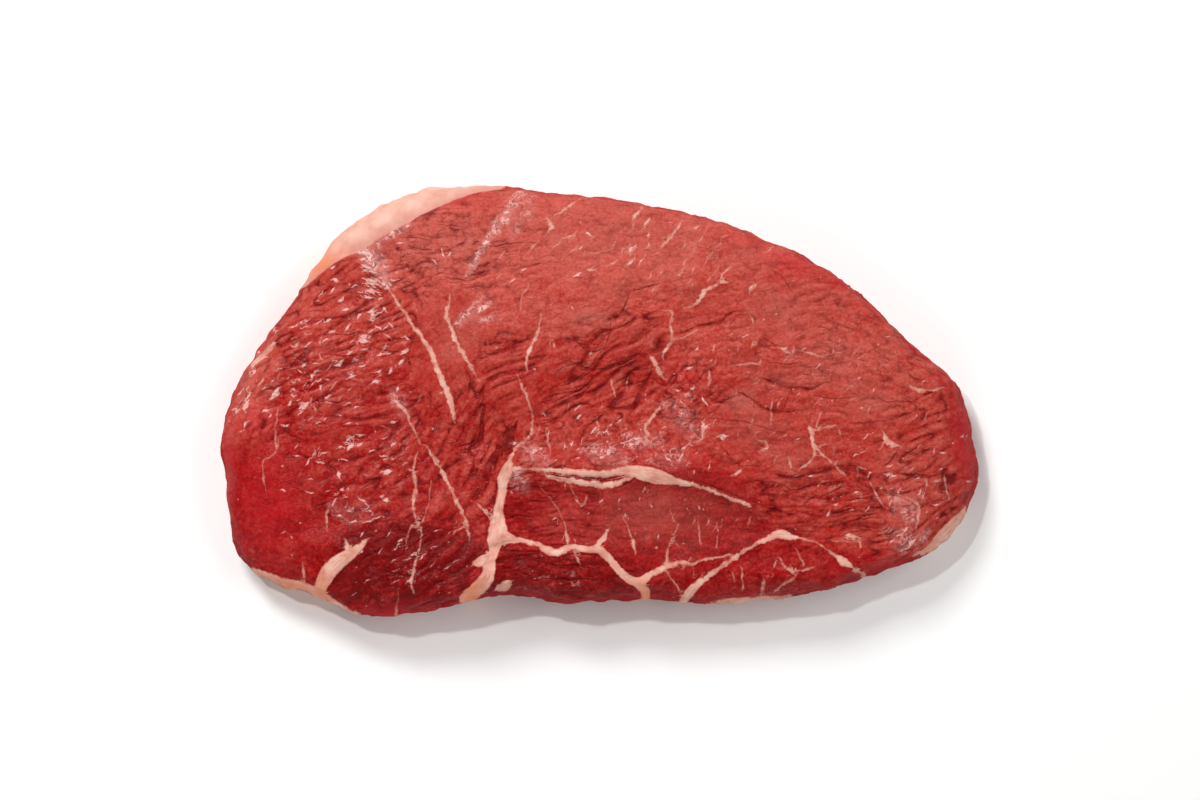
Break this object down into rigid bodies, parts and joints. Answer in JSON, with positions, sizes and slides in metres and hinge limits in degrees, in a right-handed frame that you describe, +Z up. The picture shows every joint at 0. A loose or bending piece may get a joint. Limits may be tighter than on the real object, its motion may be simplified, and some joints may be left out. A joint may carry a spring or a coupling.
{
  "type": "raw sirloin steak",
  "caption": "Raw sirloin steak: a thick slab of red beef cut across the grain, with seams and threads of fat and a cap of fat at its rim, lying flat on its underside.",
  "frame": {"origin": "on the table under the middle of the steak's bounding box", "axes": "+X along the steak towards its narrow right end, +Y across it towards the side with the cap of fat, +Z up from the table"},
  "size_m": [0.1898, 0.1081, 0.0224],
  "materials": {
    "raw_beef": "moist raw beef: brick to deep red muscle, crackled and wrinkled, with cream fat and small wet glints"
  },
  "bodies": {
    "root": {"steak": "raw_beef"}
  },
  "joints": []
}
